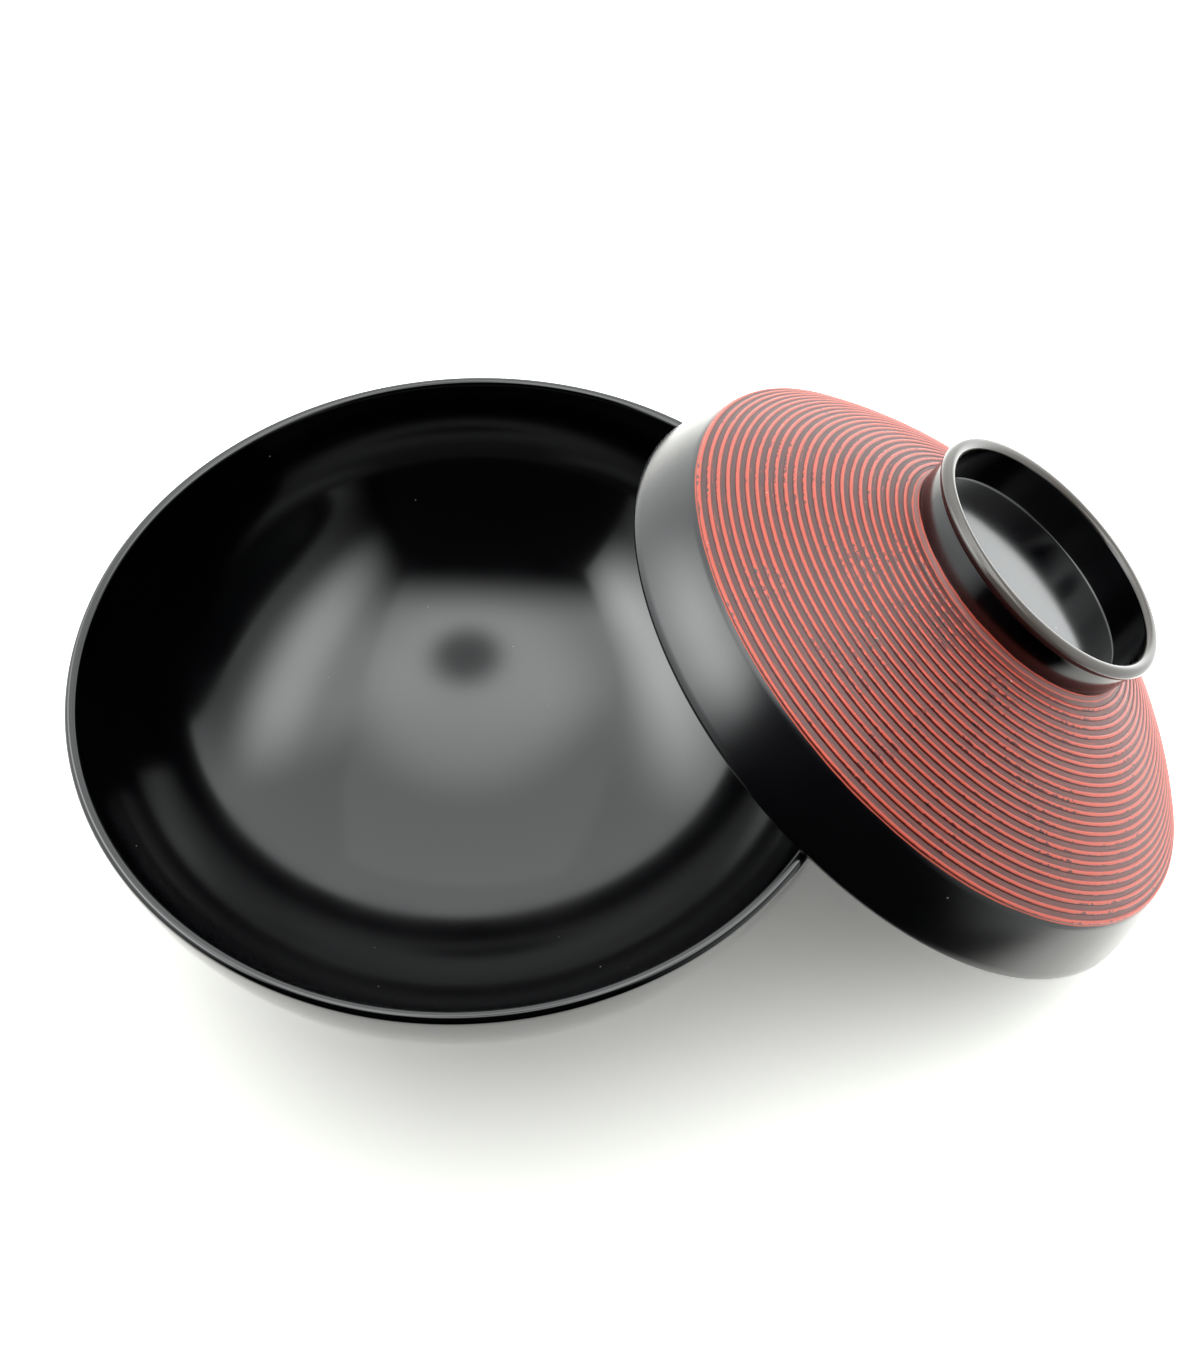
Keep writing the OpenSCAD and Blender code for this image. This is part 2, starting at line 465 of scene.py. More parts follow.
@dataclass(frozen=True)
class RibbedRoofLacquer(BlackLacquer):
    """Black lacquer of the lid, which the red of the ribs has been rubbed across.

    The skirt is rubbed to a satin and the knob is glossier. The turned grooves keep a film of red,
    with fine marks that run round the lid; the film is drawn thicker toward the front of the lid and
    thinner away from it, as painted light that evens out how the lamps light the grooves. The red
    ends in a line at the skirt's edge and in two lines at the knob ring's foot. The ring's lip is
    coloured a warm grey, a painted highlight.
    """

    name: str = "black_lacquer_wiped_red"
    film_colour: str = "#8E5A55"
    red_colour: str = "#D8604A"
    # Warm grey painted on the knob ring's lip as its highlight.
    lip_highlight_colour: str = "#5E5852"
    # Places along the outline, given by the lid.
    roof_from_mm: float = 0.0
    roof_to_mm: float = 0.0
    lip_at_mm: float = 0.0
    lip_out_mm: float = 2.1
    lip_in_mm: float = 1.35
    lip_soft_mm: float = 0.35
    red_edge_mm: float = 0.7
    red_foot_mm: float = 1.3
    red_line_mm: float = 0.22
    line_soft_mm: float = 0.06
    edge_soft_mm: float = 0.12
    foot_soft_mm: float = 0.1
    foot_cover: float = 0.9
    # Marks are stretched round the lid: cosine, sine and way along the outline.
    marks_stretch: Triple = (2.2, 2.2, 1.6)
    marks_scale: float = 3.2
    ragged_scale: float = 6.0
    ragged: Ramp = (0.25, 0.75, -0.12, 0.12)
    film: Ramp = (*NOISE_RANGE, 0.6, 1.3)
    stray: Ramp = (0.62, 0.66, 0.0, 0.8)
    # Film amount by turn and the turn where it is most: painted light that evens out how the lamps light the
    # grooves.
    painted_sheen_by_turn: Ramp = (-0.1, 0.8, 0.3, 0.76)
    painted_sheen_deg: float = 290.0
    ring_roughness: float = 0.12
    ring_soft_mm: float = 0.5
    roof_roughness: float = 0.45

    def make(self) -> Material:
        """Builds the material on the plain black lacquer's.

        Returns:
            The material.
        """
        material = super().make()
        tree = material.node_tree
        add = partial(add_node, tree)
        shader = next(node for node in tree.nodes if node.type == "BSDF_PRINCIPLED").inputs
        black, gloss = (shader[name].links[0].from_socket for name in ("Base Color", "Roughness"))
        spin = add(ATTRIBUTE, attribute_name="spin")["Vector"]
        stretched = add(VECTOR_MATH, [spin, self.marks_stretch], operation="MULTIPLY")[0]
        marks = add(NOISE, {"Vector": stretched, "Scale": self.marks_scale, "Detail": 5.0,
                            "Roughness": 0.7})[0]
        # Painted light: the red film is laid thicker toward the front of the lid and thinner away from it.
        toward = math.radians(self.painted_sheen_deg)
        front = add(VECTOR_MATH, [spin, (math.cos(toward), math.sin(toward), 0.0)],
                    operation="DOT_PRODUCT")["Value"]
        front = add(RAMP, [front, *self.painted_sheen_by_turn], interpolation_type="SMOOTHSTEP")[0]
        film = add(RAMP, [marks, *self.film])[0]
        film = add(MATH, [film, front], operation="MULTIPLY")[0]
        stray = add(RAMP, [marks, *self.stray])[0]
        ragged = add(NOISE, {"Vector": spin, "Scale": self.ragged_scale, "Detail": 4.0})[0]
        ragged = add(RAMP, [ragged, *self.ragged])[0]
        way = add(MATH, [add(SPLIT, [spin])[2], ragged], operation="ADD")[0]

        def between(low: float, high: float, soft: float) -> NodeSocket:
            """Returns 1 where the way along the outline lies between low and high."""
            ends = ((low - soft, low), (high + soft, high))
            return add(MATH, [add(RAMP, [way, *end])[0] for end in ends], operation="MULTIPLY")[0]

        start, stop, line = self.roof_from_mm, self.roof_to_mm, self.red_line_mm
        foot = stop - self.red_foot_mm
        roof = between(start, stop, self.edge_soft_mm)
        red = between(start, start + self.red_edge_mm, self.edge_soft_mm)
        for low in (stop - line, foot):
            red = add(MATH, [red, between(low, low + line, self.line_soft_mm)], operation="ADD")[0]
        stray = add(MATH, [stray, roof], operation="MULTIPLY")[0]
        red = add(MATH, [red, stray], operation="MAXIMUM")[0]
        film = add(MATH, [film, roof], operation="MULTIPLY")[0]
        band = add(MATH, [between(foot, stop, self.foot_soft_mm), self.foot_cover], operation="MULTIPLY")[0]
        film = add(MATH, [film, band], operation="MAXIMUM")[0]
        # Painted highlight: the ring's lip is coloured warm grey.
        lip = between(self.lip_at_mm - self.lip_out_mm, self.lip_at_mm + self.lip_in_mm, self.lip_soft_mm)
        coats = [(film, self.film_colour), (red, self.red_colour), (lip, self.lip_highlight_colour)]
        colour = lay_coats(tree, black, coats)
        rough = add(MATH, [roof, self.roof_roughness - self.roughness, gloss], operation="MULTIPLY_ADD")[0]
        ring = add(RAMP, [way, stop, stop + self.ring_soft_mm, 0.0, self.ring_roughness - self.roughness])[0]
        rough = add(MATH, [rough, ring], operation="ADD")[0]
        tree.links.new(colour, shader["Base Color"])
        tree.links.new(rough, shader["Roughness"])
        return material


@dataclass(frozen=True)
class VermilionLacquer:
    """Vermilion lacquer laid on the turned ribs by hand.

    It gives a warm satin red that is fullest on the crest, with painted shade in dark red on the
    rib's side toward the rim, deepest toward the front of the lid, and a painted highlight in pale
    grey-pink on its side toward the knob. It is broken by small black nicks where the coat under it
    shows. The dust on it is drawn two or three times as coarse as real dust, which would not show.
    """

    name: str = "vermilion_lacquer_on_ribs"
    crest_colour: str = "#DE5840"
    # Dark red painted as shade on the ribs' rim-side flanks.
    shaded_side_colour: str = "#5C130D"
    # Pale grey-pink, the grooves' film colour, painted as a highlight on the ribs' knob-side flanks.
    film_and_highlight_colour: str = "#8E5A55"
    nick_colour: str = "#1A0E0D"
    dust_colour: str = "#D8CEC6"
    roughness: float = 0.4
    specular: float = 0.65
    ior: float = 1.5
    nick_spacing_mm: float = 1.1
    nick_mm: float = 0.6
    nick_bare: float = 0.3
    dust_spacing_mm: float = 2.6
    dust_mm: float = 0.16
    dust_bare: float = 0.4
    cluster_mm: float = 9.0
    bite_mm: float = 1.1
    grain_per_m: float = 900.0
    grain_depth_m: float = 0.00012
    # The turn, as a share of a full one, where the painted shade on the ribs' rim-side flanks is deepest.
    deepest_shade_turn: float = 0.65
    # How far the painted shade reaches from the rim-side flank toward the crest, by turn, how ragged it is in
    # clusters, and where it covers.
    side_shade_by_turn: Ramp = (0.55, 0.98, 0.0, 0.2)
    cluster: Ramp = (0.48, 0.62, 0.08, 1.0)
    bite: Ramp = (0.42, 0.68, -0.15, 1.1)
    rim: Ramp = (0.5, 0.85, 0.0, 1.0)
    # Where the painted highlight covers the knob-side flank.
    film_and_highlight: Ramp = (0.45, 0.85, 0.0, 0.9)
    outer: Ramp = (-0.7, 0.3, 1.0, 0.25)

    def make(self) -> Material:
        """Builds the material.

        Returns:
            The material.
        """
        material = bpy.data.materials.new(self.name)
        tree = blank_tree(material)
        add = partial(add_node, tree)
        here = add(COORDS)["Object"]
        # The attribute flank runs from -1 at the rib's foot on the rim's side to 1 at its foot on the knob's.
        flank = add(ATTRIBUTE, attribute_name="flank")["Fac"]
        section = add(ATTRIBUTE, attribute_name="section")["Vector"]
        # Painted shade: the rim-side flank of each rib is coloured dark red, reaching further toward the
        # crest on the side of the lid toward the front.
        turn = add(MATH, [add(SPLIT, [section])[0], math.tau, -math.tau * self.deepest_shade_turn],
                   operation="MULTIPLY_ADD")[0]
        turn = add(MATH, [turn], operation="COSINE")[0]
        side_shade_by_turn = add(RAMP, [turn, *self.side_shade_by_turn], interpolation_type="SMOOTHSTEP")[0]
        cluster = add(NOISE, {"Vector": here, "Scale": 1 / (self.cluster_mm * MM), "Detail": 3.0,
                              "Roughness": 0.6})[0]
        cluster = add(RAMP, [cluster, *self.cluster])[0]
        bite = add(NOISE, {"Vector": here, "Scale": 1 / (self.bite_mm * MM), "Detail": 2.0})[0]
        bite = add(RAMP, [bite, *self.bite])[0]
        # Mask of the painted shade on the rim-side flank, made ragged by the bite noise where it clusters.
        rim = add(MATH, [bite, cluster, side_shade_by_turn], operation="MULTIPLY_ADD")[0]
        rim = add(MATH, [rim, flank], operation="SUBTRACT")[0]
        rim = add(RAMP, [rim, *self.rim])[0]
        # Painted highlight: the knob-side flank, which faces the light from above, is coloured pale
        # grey-pink.
        film_and_highlight = add(RAMP, [flank, *self.film_and_highlight])[0]
        outer = add(RAMP, [flank, *self.outer])[0]
        nick = flecks(tree, self.nick_spacing_mm, self.nick_mm, self.nick_bare, gains=[cluster, outer])
        dust = flecks(tree, self.dust_spacing_mm, self.dust_mm, self.dust_bare, channel=1)
        # Over the crest's red: painted shade on the rim-side flank, a painted highlight on the knob-side
        # flank, then real nicks and dust.
        coats = [(rim, self.shaded_side_colour), (film_and_highlight, self.film_and_highlight_colour), (nick, self.nick_colour),
                 (dust, self.dust_colour)]
        red = lay_coats(tree, linear(self.crest_colour), coats)
        grain = add(NOISE, {"Vector": here, "Scale": self.grain_per_m, "Detail": 3.0})[0]
        bump = add("ShaderNodeBump", {"Height": grain, "Strength": 0.5, "Distance": self.grain_depth_m})[0]
        shader = add(PRINCIPLED, {"Base Color": red, "Roughness": self.roughness, "IOR": self.ior,
                                  "Specular IOR Level": self.specular, "Normal": bump})[0]
        add(OUTPUT, [shader])
        return material


@dataclass
class Bowl:
    """The bowl: a half ellipse inside and out, with a round lip and a foot ring. Sizes in mm."""

    rim_r: float = 70.0
    height: float = 60.5
    wall: float = 2.1
    body_rise: float = 6.0
    floor_t: float = 5.0
    flare_rise: float = 0.5
    foot_r: float = 30.5
    foot_wall: float = 3.4
    foot_taper: float = 0.9
    foot_hollow: float = 6.0
    foot_edge: float = 0.8
    foot_fillet: float = 2.2
    wall_steps: int = 64
    edge_steps: int = 10
    finish: BlackLacquer = field(default_factory=BlackLacquer)

    @property
    def centre_z(self) -> float:
        """Height of the ellipses' centre."""
        return self.height + self.flare_rise

    def wall_curve(self, radius: float, depth: float, first: float, last: float) -> list[Point]:
        """Lists points along one half ellipse.

        Args:
            radius: Radius of the ellipse at its centre's height.
            depth: Its depth below that.
            first: Radius to start at.
            last: Radius to end at.

        Returns:
            Points from first to last.
        """
        a0, a1 = math.asin(min(1.0, first / radius)), math.asin(min(1.0, last / radius))
        angles = [a0 + (a1 - a0) * i / self.wall_steps for i in range(self.wall_steps + 1)]
        return [(radius * math.sin(a), self.centre_z - depth * math.cos(a)) for a in angles]

    def outline(self) -> list[Point]:
        """Lists the bowl's outline.

        Returns:
            Points from the inside's middle over the lip to the middle of the foot's hollow.
        """
        outer_depth = self.centre_z - self.body_rise
        inner_depth = outer_depth - self.floor_t
        outer_r = self.rim_r / math.sqrt(1 - (self.flare_rise / outer_depth) ** 2)
        inner_r = (self.rim_r - self.wall) / math.sqrt(1 - (self.flare_rise / inner_depth) ** 2)
        lip_z = self.height - self.wall / 2
        lip_out = outer_r * math.sqrt(1 - ((self.centre_z - lip_z) / outer_depth) ** 2)
        lip_in = inner_r * math.sqrt(1 - ((self.centre_z - lip_z) / inner_depth) ** 2)
        lip_r, tube_r = (lip_out + lip_in) / 2, (lip_out - lip_in) / 2
        top_r = self.foot_r + self.foot_taper
        top_z = self.centre_z - outer_depth * math.sqrt(1 - (top_r / outer_r) ** 2)
        slope = outer_depth * top_r / (outer_r * math.sqrt(outer_r ** 2 - top_r ** 2))
        blend = fillet((top_r, top_z), (top_r + 1, top_z + slope), (self.foot_r, 0), self.foot_fillet,
                       self.edge_steps)
        turns = 2 * self.edge_steps
        lip = [(lip_r + tube_r * math.cos(math.pi * (1 - i / turns)),
                lip_z + self.wall / 2 * math.sin(math.pi * i / turns)) for i in range(1, turns)]
        inner_foot, edge = self.foot_r - self.foot_wall, self.foot_edge
        return [
            *self.wall_curve(inner_r, inner_depth, 0.0, lip_in), *lip,
            *self.wall_curve(outer_r, outer_depth, lip_out, blend[0][0])[:-1], *blend,
            *arc((self.foot_r - edge, edge), edge, 0, -90, self.edge_steps),
            *arc((inner_foot + edge, edge), edge, -90, -180, self.edge_steps),
            *arc((inner_foot - edge, self.foot_hollow - edge), edge, 0, 90, self.edge_steps),
            (0.0, self.foot_hollow),
        ]

    def build(self, lathe: Lathe) -> Object:
        """Turns the bowl and gives it to its CAD body.

        Args:
            lathe: The lathe that turns the outline.

        Returns:
            The finished bowl.
        """
        piece = lathe.turn("bowl_lacquered", self.outline(), self.finish.make(), Matrix.Identity(4))
        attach(piece, "bowl")
        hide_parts("bowl")
        return piece


@dataclass
class Lid:
    """The lid: a plain skirt, a convex roof and a ring knob, leaning on the bowl. Sizes in mm."""

    rim_r: float = 64.1
    wall: float = 2.2
    skirt_h: float = 13.0
    skirt_draft: float = 4.1
    skirt_swell: float = 0.3
    roof_h: float = 31.3
    roof_swell: float = 1.8
    roof_t: float = 3.0
    knob_r: float = 26.3
    knob_top_h: float = 40.3
    knob_wall: float = 2.6
    knob_waist: float = 1.0
    knob_draw: float = 0.1
    knob_barrel: float = 0.06
    knob_flare: float = 0.3
    knob_floor_h: float = 32.0
    knob_draft: float = 0.7
    knob_fillet: float = 1.2
    floor_fillet: float = 0.5
    lean_deg: float = 36.0
    lean_x: float = 82.3325
    steps: int = 40
    edge_steps: int = 10
    corner_steps: int = 6
    roughness: float = 0.22

    def __post_init__(self) -> None:
        """Works out the roof's circle, which the ribs share."""
        self.skirt_top: Point = (self.rim_r - self.skirt_draft, self.skirt_h)
        self.roof_end: Point = (self.knob_r - self.knob_waist, self.roof_h)
        self.roof_centre, self.roof_r = swell_circle(self.roof_end, self.skirt_top, self.roof_swell)
        self.roof_out_deg = heading(self.roof_centre, self.skirt_top)
        self.roof_in_deg = heading(self.roof_centre, self.roof_end)

    @property
    def roof_run(self) -> float:
        """Length of the roof's arc."""
        return math.radians(self.roof_in_deg - self.roof_out_deg) * self.roof_r

    def place(self) -> Matrix:
        """Finds where the lid leans on the bowl.

        Returns:
            The lid's place, in metres.
        """
        tube = self.wall / 2
        lean = math.radians(self.lean_deg)
        height = tube + (self.rim_r - tube) * math.sin(lean)
        return (Matrix.Translation((self.lean_x * MM, 0, height * MM)) @ Matrix.Rotation(lean, 4, "Y")
                @ Matrix.Translation((0, 0, -tube * MM)))

    def outside(self) -> tuple[list[Point], int, int]:
        """Lists the outside from the rim to the middle of the knob's floor.

        Returns:
            The points, and the numbers of the first and the last point of the roof.
        """
        lip, foot = self.knob_wall / 2, (self.rim_r, self.wall / 2)
        centre, radius = swell_circle(self.skirt_top, foot, self.skirt_swell)
        skirt = arc(centre, radius, heading(centre, foot), heading(centre, self.skirt_top), self.edge_steps)
        back = self.roof_in_deg - math.degrees(self.knob_fillet / self.roof_r)
        wall_r = self.knob_r - self.knob_waist + self.knob_draw
        lip_r, lip_z = self.knob_r - lip, self.knob_top_h - lip
        base = fillet(self.roof_end, polar(self.roof_centre, self.roof_r, math.radians(back)),
                      (wall_r, self.knob_top_h), self.knob_fillet, self.edge_steps)
        stop = heading(self.roof_centre, base[0])
        roof = arc(self.roof_centre, self.roof_r, self.roof_out_deg, stop, 2 * self.steps)
        floor_r = self.knob_r - self.knob_wall - self.knob_draft
        inner_lip = (self.knob_r - self.knob_wall, lip_z)
        corner = fillet((floor_r, self.knob_floor_h), inner_lip, (0.0, self.knob_floor_h), self.floor_fillet,
                        self.corner_steps)
        over = wall_r + self.knob_flare - lip_r
        hollow = (wall_r + self.knob_flare, lip_z - math.sqrt((lip + self.knob_flare) ** 2 - over ** 2))
        touch = heading(hollow, (lip_r, lip_z))
        top = (wall_r, hollow[1])
        centre, radius = swell_circle(top, base[-1], self.knob_barrel)
        wall = arc(centre, radius, heading(centre, base[-1]), heading(centre, top), self.edge_steps)
        points = [*skirt, *roof[1:-1], *base, *wall[1:-1],
                  *arc(hollow, self.knob_flare, 180, touch, self.edge_steps),
                  *arc((lip_r, lip_z), lip, touch - 180, 180, 2 * self.edge_steps)[1:],
                  *corner, (floor_r / 2, self.knob_floor_h), (0.0, self.knob_floor_h)]
        return points, len(skirt) - 1, len(skirt) + len(roof) - 3 + len(base)

    def inside(self) -> list[Point]:
        """Lists the inside.

        Returns:
            Points from its middle to the rim's inner edge and round under the rim.
        """
        tube = self.wall / 2
        radius, top = self.roof_r - self.roof_t, self.knob_floor_h - self.roof_t
        top_r = self.roof_centre[0] + math.sqrt(radius ** 2 - (top - self.roof_centre[1]) ** 2)
        start = heading(self.roof_centre, (top_r, top))
        roof = [p for p in arc(self.roof_centre, radius, start, self.roof_out_deg, self.steps)
                if p[0] < self.skirt_top[0] - self.wall]
        return [(0.0, top), (top_r / 2, top), *roof,
                *arc((self.rim_r - tube, tube), tube, -180, 0, 2 * self.edge_steps)[:-1]]

    def build(self, lathe: Lathe) -> Object:
        """Turns the lid and gives it to its CAD body.

        Args:
            lathe: The lathe that turns the outline.

        Returns:
            The finished lid.
        """
        inside = self.inside()
        outside, first, last = self.outside()
        outline = [*inside, *outside]
        ways = [0.0]
        for a, b in zip(outline, outline[1:]):
            ways.append(ways[-1] + math.dist(a, b))
        start, stop = ways[len(inside) + first], ways[len(inside) + last]
        top = max(range(len(outline)), key=lambda i: outline[i][1])
        finish = RibbedRoofLacquer(roughness=self.roughness, roof_from_mm=start, roof_to_mm=stop,
                                   lip_at_mm=ways[top])
        piece = lathe.turn("lid_lacquered", outline, finish.make(), self.place())
        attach(piece, "lid")
        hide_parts("lid")
        return piece


@dataclass
class Ribs:
    """The raised red rings on the lid's roof. Sizes in mm."""

    lid: Lid
    count: int = 23
    width: float = 0.8
    height: float = 0.36
    margin: float = 0.2
    stop: float = 0.4
    sink: float = 0.05
    foot: float = 0.05
    softness: float = 1.3
    unevenness: float = 0.35
    waves: float = 9.0
    top_share: float = 0.8
    segments: int = 384
    section_points: int = 11
    seed: int = 7
    finish: VermilionLacquer = field(default_factory=VermilionLacquer)

    def tree(self, values: Mapping[str, object]) -> NodeTree:
        """Builds the tree: one closed ring for each rib, each at its own run down the roof's arc.

        Args:
            values: The tree's inputs.

        Returns:
            The tree.
        """
        tree = new_geometry_tree("raised_rings", values)
        add = partial(add_node, tree)
        given = add("NodeGroupInput")
        line = add("GeometryNodeMeshLine", {"Count": given["Ribs"], "Offset": (0.0, 0.0, 0.0)})[0]
        index = add("GeometryNodeInputIndex")[0]
        line = add(STORE, {"Geometry": line, "Name": "rib_number", "Value": index})[0]
        around = add(MATH, [given["Segments"], 1.0], operation="ADD")[0]
        grid = add("GeometryNodeMeshGrid", {"Size X": 1.0, "Size Y": 1.0, "Vertices X": around,
                                            "Vertices Y": given["Section Points"]})
        ring = add(STORE, {"Geometry": grid["Mesh"], "Name": "section", "Value": grid["UV Map"]},
                   data_type="FLOAT_VECTOR")[0]
        rings = add("GeometryNodeInstanceOnPoints", {"Points": line, "Instance": ring})[0]
        rings = add("GeometryNodeRealizeInstances", {"Geometry": rings})[0]
        rib = add("GeometryNodeInputNamedAttribute", {"Name": "rib_number"})[0]
        section = add("GeometryNodeInputNamedAttribute", {"Name": "section"}, data_type="FLOAT_VECTOR")[0]
        share = add(SPLIT, [section])
        turn = add(MATH, [share[0], math.tau], operation="MULTIPLY")[0]
        cos, sin = (add(MATH, [turn], operation=wave)[0] for wave in ("COSINE", "SINE"))
        # The section is half a wave over the roof and a shallow half wave sunk into it.
        over = add(RAMP, [share[1], 0.0, self.top_share, 0.0, math.pi])[0]
        under = add(RAMP, [share[1], self.top_share, 1.0, 0.0, math.pi])[0]
        phase = add(MATH, [over, under], operation="ADD")[0]
        flank = add(MATH, [phase], operation="COSINE")[0]
        rise = add(MATH, [phase], operation="SINE")[0]
        up = add(MATH, [rise, 0.0], operation="MAXIMUM")[0]
        up = add(MATH, [up, given["Softness"]], operation="POWER")[0]
        down = add(MATH, [rise, 0.0], operation="MINIMUM")[0]
        # Slow waves round each ring make its width and height uneven, as brushed lacquer is.
        circle = add(JOIN, [cos, sin, rib])[0]
        wave = add(NOISE, {"Vector": circle, "W": given["Seed"], "Scale": self.waves, "Detail": 3.0},
                   noise_dimensions="4D")[0]
        uneven = add(MATH, [wave, 0.5], operation="SUBTRACT")[0]
        uneven = add(MATH, [uneven, given["Unevenness"], 1.0], operation="MULTIPLY_ADD")[0]
        height = add(MATH, [given["Rib Height"], uneven], operation="MULTIPLY")[0]
        half = add(MATH, [given["Half Width"], uneven], operation="MULTIPLY")[0]
        down = add(MATH, [down, 1.0], operation="SUBTRACT")[0]
        radius = add(MATH, [down, given["Sink"], given["Roof Radius"]], operation="MULTIPLY_ADD")[0]
        radius = add(MATH, [up, height, radius], operation="MULTIPLY_ADD")[0]
        shift = add(MATH, [flank, half], operation="MULTIPLY")[0]
        shift = add(MATH, [shift, given["Roof Radius"]], operation="DIVIDE")[0]
        angle = add(MATH, [rib, given["Angle Step"], given["First Angle"]], operation="MULTIPLY_ADD")[0]
        angle = add(MATH, [angle, shift], operation="ADD")[0]
        across, high = (add(MATH, [angle], operation=wave)[0] for wave in ("COSINE", "SINE"))
        out = add(MATH, [across, radius, given["Roof Centre R"]], operation="MULTIPLY_ADD")[0]
        z = add(MATH, [high, radius, given["Roof Centre Z"]], operation="MULTIPLY_ADD")[0]
        x, y = (add(MATH, [out, part], operation="MULTIPLY")[0] for part in (cos, sin))
        place = add(JOIN, [x, y, z])[0]
        rings = add(STORE, {"Geometry": rings, "Name": "flank", "Value": flank})[0]
        end_geometry_tree(tree, rings, place, given)
        return tree

    def build(self) -> Object:
        """Makes the rings and gives them to the lid's CAD body.

        Returns:
            The finished rings as one piece.
        """
        lid = self.lid
        first = self.margin + self.width / 2
        last = lid.roof_run - lid.knob_fillet - self.stop - self.width / 2
        host = new_object("rings_host", bpy.data.meshes.new("rings_host"))
        values = {
            "Ribs": self.count, "Segments": self.segments, "Section Points": self.section_points,
            "First Angle": math.radians(lid.roof_out_deg) + first / lid.roof_r,
            "Angle Step": (last - first) / (self.count - 1) / lid.roof_r,
            "Roof Radius": lid.roof_r * MM, "Roof Centre R": lid.roof_centre[0] * MM,
            "Roof Centre Z": lid.roof_centre[1] * MM, "Half Width": (self.width / 2 + self.foot) * MM,
            "Rib Height": self.height * MM, "Sink": self.sink * MM, "Softness": self.softness,
            "Unevenness": self.unevenness, "Seed": self.seed, "Weld": WELD_M, "Finish": self.finish.make()}
        run_tree(host, self.tree(values), values)
        piece = to_plain_mesh(host, "lid_ribs_lacquered", lid.place())
        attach(piece, "lid")
        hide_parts("lid_ribs")
        return piece


def smooth(value: float, low: float, high: float) -> float:
    """Rises smoothly from 0 at low to 1 at high."""
    t = max(0.0, min(1.0, (value - low) / (high - low)))
    return t * t * (3 - 2 * t)


def step(value: float, middle: float, soft: float) -> float:
    """Rises smoothly from 0 to 1 about a middle, over soft on either side."""
    return smooth(value, middle - soft, middle + soft)


def blend(a: float, b: float, share: float) -> float:
    """Returns the value that lies the given share of the way from a to b."""
    return a + (b - a) * share


@dataclass(frozen=True)
class LampBand:
    """A row of lamps behind a side wall's cloth, which is dimmer under and over it. Sizes in mm."""

    floor_z: float
    floor: float
    low_z: float
    high_z: float
    soft_z: float
    under: float
    bright: float
    over: float
    front_y: float
    front_soft: float
    back_y: float
    back_soft: float
    slope: float
    floor_soft: float = 30.0
    floor_loss: float = 0.0
    floor_loss_y: float = 45.0
    floor_loss_soft: float = 25.0

    def glow(self, y: float, z: float, back: float) -> float:
        """Finds the cloth's brightness at one place.

        Args:
            y: Way from front to back.
            z: Height above the floor.
            back: Brightness of the back wall's cloth, which the side wall runs into.

        Returns:
            Brightness, where 1 is white.
        """
        z += self.slope * y
        floor = self.floor - self.floor_loss * (1 - step(y, self.floor_loss_y, self.floor_loss_soft))
        level = blend(floor, self.under, step(z, self.floor_z, self.floor_soft))
        level = blend(level, self.bright, step(z, self.low_z, self.soft_z))
        level = blend(level, self.over, step(z, self.high_z, self.soft_z))
        level *= step(y, self.front_y, self.front_soft)
        return blend(level, back, step(y, self.back_y, self.back_soft))


